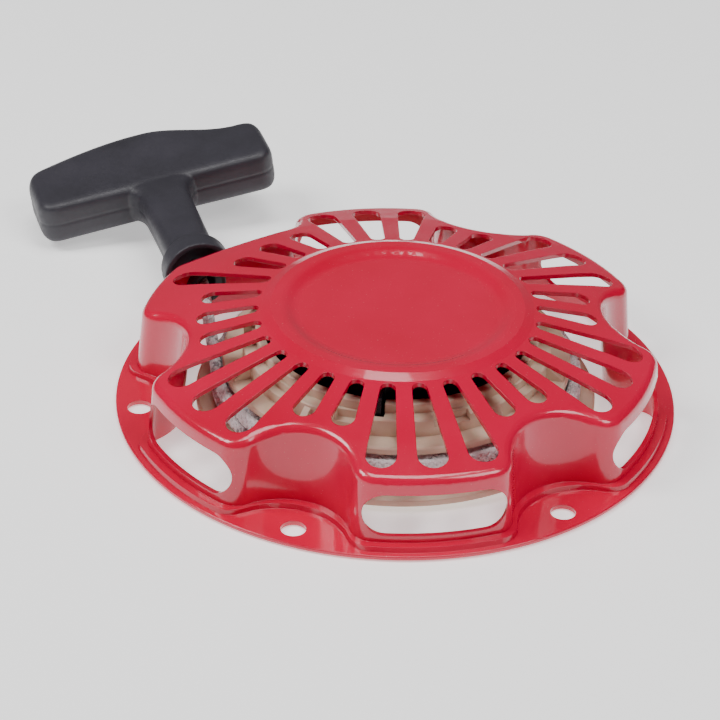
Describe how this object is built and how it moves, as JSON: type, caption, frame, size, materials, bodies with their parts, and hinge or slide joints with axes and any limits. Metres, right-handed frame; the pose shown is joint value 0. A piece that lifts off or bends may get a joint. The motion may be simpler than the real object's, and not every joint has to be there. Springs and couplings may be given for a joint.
{
  "type": "recoil starter",
  "caption": "Pull-rope engine starter: louvred pressed steel case on a round bolt flange, sprung rope reel with ratchet pawls, and a T-shaped pull grip.",
  "frame": {"origin": "centre of the bolt circle in the flange's underside, the face that lies on the engine's fan cover", "axes": "+Z out of the engine through the closed top of the case; -X towards the lobe beside the rope's exit"},
  "size_m": [0.2339, 0.1825, 0.0325],
  "materials": {
    "case_paint": "gloss paint over pressed steel sheet",
    "plated_steel": "zinc plated",
    "pawl_steel": "hardened, oiled",
    "spring_steel": "blued spring steel",
    "reel_nylon": "moulded natural nylon",
    "guide_nylon": "moulded black nylon",
    "grip_plastic": "moulded satin, fine grain",
    "rope_braid": "braided polyamide with dark flecks"
  },
  "bodies": {
    "case": {"starter_case": "case_paint", "reel_post": "plated_steel", "setting_screw": "plated_steel", "screw_washer": "plated_steel", "rope_guide": "guide_nylon", "rope_lead": "rope_braid", "rope_run": "rope_braid"},
    "reel": {"rope_reel": "reel_nylon", "wound_rope": "rope_braid", "reel_knot": "rope_braid", "recoil_spring": "spring_steel", "pawl_return_spring_1": "plated_steel", "pawl_return_spring_2": "plated_steel"},
    "pawl_1": {"ratchet_pawl_1": "pawl_steel"},
    "pawl_2": {"ratchet_pawl_2": "pawl_steel"},
    "guide": {"ratchet_guide": "plated_steel", "friction_spring": "plated_steel"},
    "handle": {"handle_grip": "grip_plastic", "knot_washer": "plated_steel", "handle_knot": "rope_braid"}
  },
  "joints": [
    {"name": "reel_spin", "type": "hinge", "parent": "case", "child": "reel", "pos_m": [0, 0, 0.01], "axis": [0, 0, -1], "range_deg": [0, 960], "stiffness_Nm_per_rad": 0.02, "springref_deg": -458.37, "deforming": ["recoil_spring"]},
    {"name": "handle_pull", "type": "slide", "parent": "case", "child": "handle", "axis": [-0.6306, 0.7759, 0.0175], "range_m": [0, 0.9], "deforming": ["rope_run"]},
    {"name": "guide_turn", "type": "hinge", "parent": "reel", "child": "guide", "pos_m": [0, 0, 0.004], "axis": [0, 0, 1], "range_deg": [0, 20], "stiffness_Nm_per_rad": 0.01, "springref_deg": -5.73},
    {"name": "pawl_1_swing", "type": "hinge", "parent": "reel", "child": "pawl_1", "pos_m": [0.0215, 0, 0.0068], "axis": [0, 0, 1], "range_deg": [0, 32]},
    {"name": "pawl_2_swing", "type": "hinge", "parent": "reel", "child": "pawl_2", "pos_m": [-0.0215, 0, 0.0068], "axis": [0, 0, 1], "range_deg": [0, 32]}
  ],
  "couplings": [
    {"joint": "handle_pull", "follows": "reel_spin", "m_per_rad": 0.0536},
    {"joint": "pawl_1_swing", "follows": "guide_turn", "ratio": 1.6},
    {"joint": "pawl_2_swing", "follows": "guide_turn", "ratio": 1.6}
  ]
}
